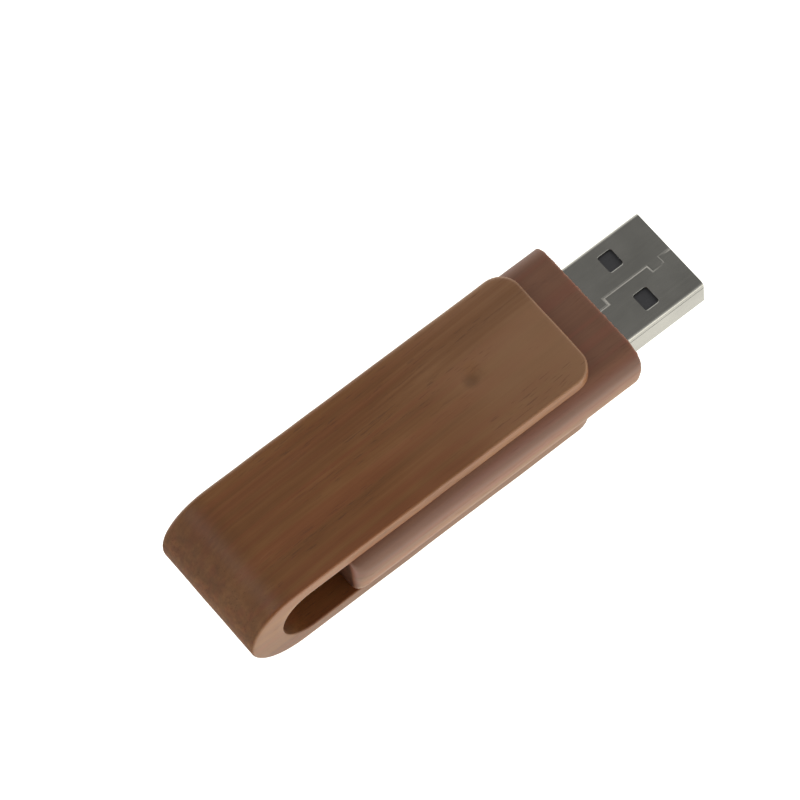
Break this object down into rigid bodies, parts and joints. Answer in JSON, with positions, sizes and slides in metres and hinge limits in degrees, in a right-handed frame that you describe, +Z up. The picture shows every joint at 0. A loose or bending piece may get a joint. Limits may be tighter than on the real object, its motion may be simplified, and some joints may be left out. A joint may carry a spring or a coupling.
{
  "type": "usb flash drive",
  "caption": "Pocket flash drive of wood: a milled U-shaped cover swivels about a flat rounded body with a type A plug.",
  "frame": {"origin": "on the face that the cover lies on, under the middle of the whole drive with the plug swung out", "axes": "+X along the length towards the plug's tip, +Y across, +Z up, parallel to the swivel axis"},
  "size_m": [0.0664, 0.0188, 0.012],
  "materials": {
    "cover_wood": "oiled, fine straight grain, brown",
    "cover_plug_wood": "filler plug, brown",
    "body_wood": "oiled, reddish brown, straight grain",
    "plug_steel": "nickel plated, satin",
    "pin_steel": "plain",
    "insulator_plastic": "black, moulded",
    "contact_gold": "gold plated",
    "board_laminate": "green solder mask",
    "package_epoxy": "black moulded epoxy",
    "lead_tin": "tin plated",
    "crystal_ceramic": "ceramic",
    "crystal_metal": "plated lid",
    "capacitor_ceramic": "tan ceramic",
    "resistor_film": "black film on ceramic",
    "solder": "bright solder",
    "adhesive_foam": "white double-sided pad"
  },
  "bodies": {
    "cover": {"swivel_cover": "cover_wood", "pivot_pin_top": "pin_steel", "pivot_pin_bottom": "pin_steel", "pin_plug_top": "cover_plug_wood", "pin_plug_bottom": "cover_plug_wood"},
    "drive": {"body_upper_half": "body_wood", "body_lower_half": "body_wood", "usb_shell": "plug_steel", "usb_insulator": "insulator_plastic", "contact_vbus": "contact_gold", "contact_d_minus": "contact_gold", "contact_d_plus": "contact_gold", "contact_gnd": "contact_gold", "circuit_board": "board_laminate", "flash_memory_package": "package_epoxy", "flash_memory_leads": "lead_tin", "controller_package": "package_epoxy", "controller_leads": "lead_tin", "crystal_base": "crystal_ceramic", "crystal_lid": "crystal_metal", "ceramic_capacitors": "capacitor_ceramic", "chip_resistors": "resistor_film", "solder_joints": "solder", "adhesive_pad": "adhesive_foam"}
  },
  "joints": [
    {"name": "cover_swivel", "type": "hinge", "parent": "cover", "child": "drive", "pos_m": [0.00502, 0, 0.006], "axis": [0, 0, 1], "continuous": true}
  ]
}
